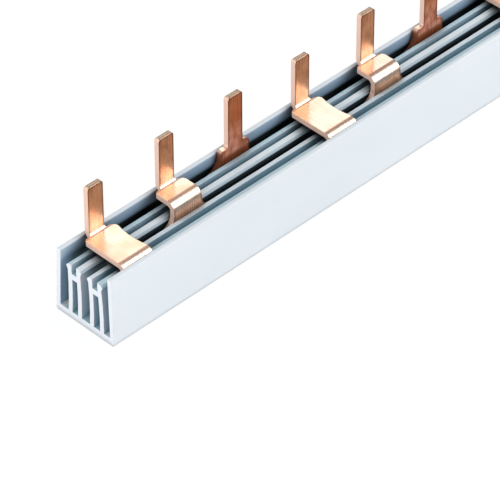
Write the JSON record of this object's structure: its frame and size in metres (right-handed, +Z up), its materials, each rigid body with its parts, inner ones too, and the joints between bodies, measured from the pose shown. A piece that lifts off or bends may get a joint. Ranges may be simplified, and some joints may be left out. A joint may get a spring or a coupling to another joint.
{
  "type": "comb busbar",
  "caption": "Pin-type comb busbar: a ribbed plastic trunking, open on top, holds stamped copper combs whose bent tongues rise into one straight row of flat pins.",
  "frame": {"origin": "middle of the underside of the trunking", "axes": "+X along the trunking, +Y from the tall front wall to the back wall, +Z up towards the pins"},
  "size_m": [0.2116, 0.0156, 0.0279],
  "materials": {
    "plastic": "satin",
    "copper": "bright rolled copper"
  },
  "bodies": {
    "root": {"trunking": "plastic", "front_comb": "copper", "middle_comb": "copper", "back_comb": "copper"}
  },
  "joints": []
}
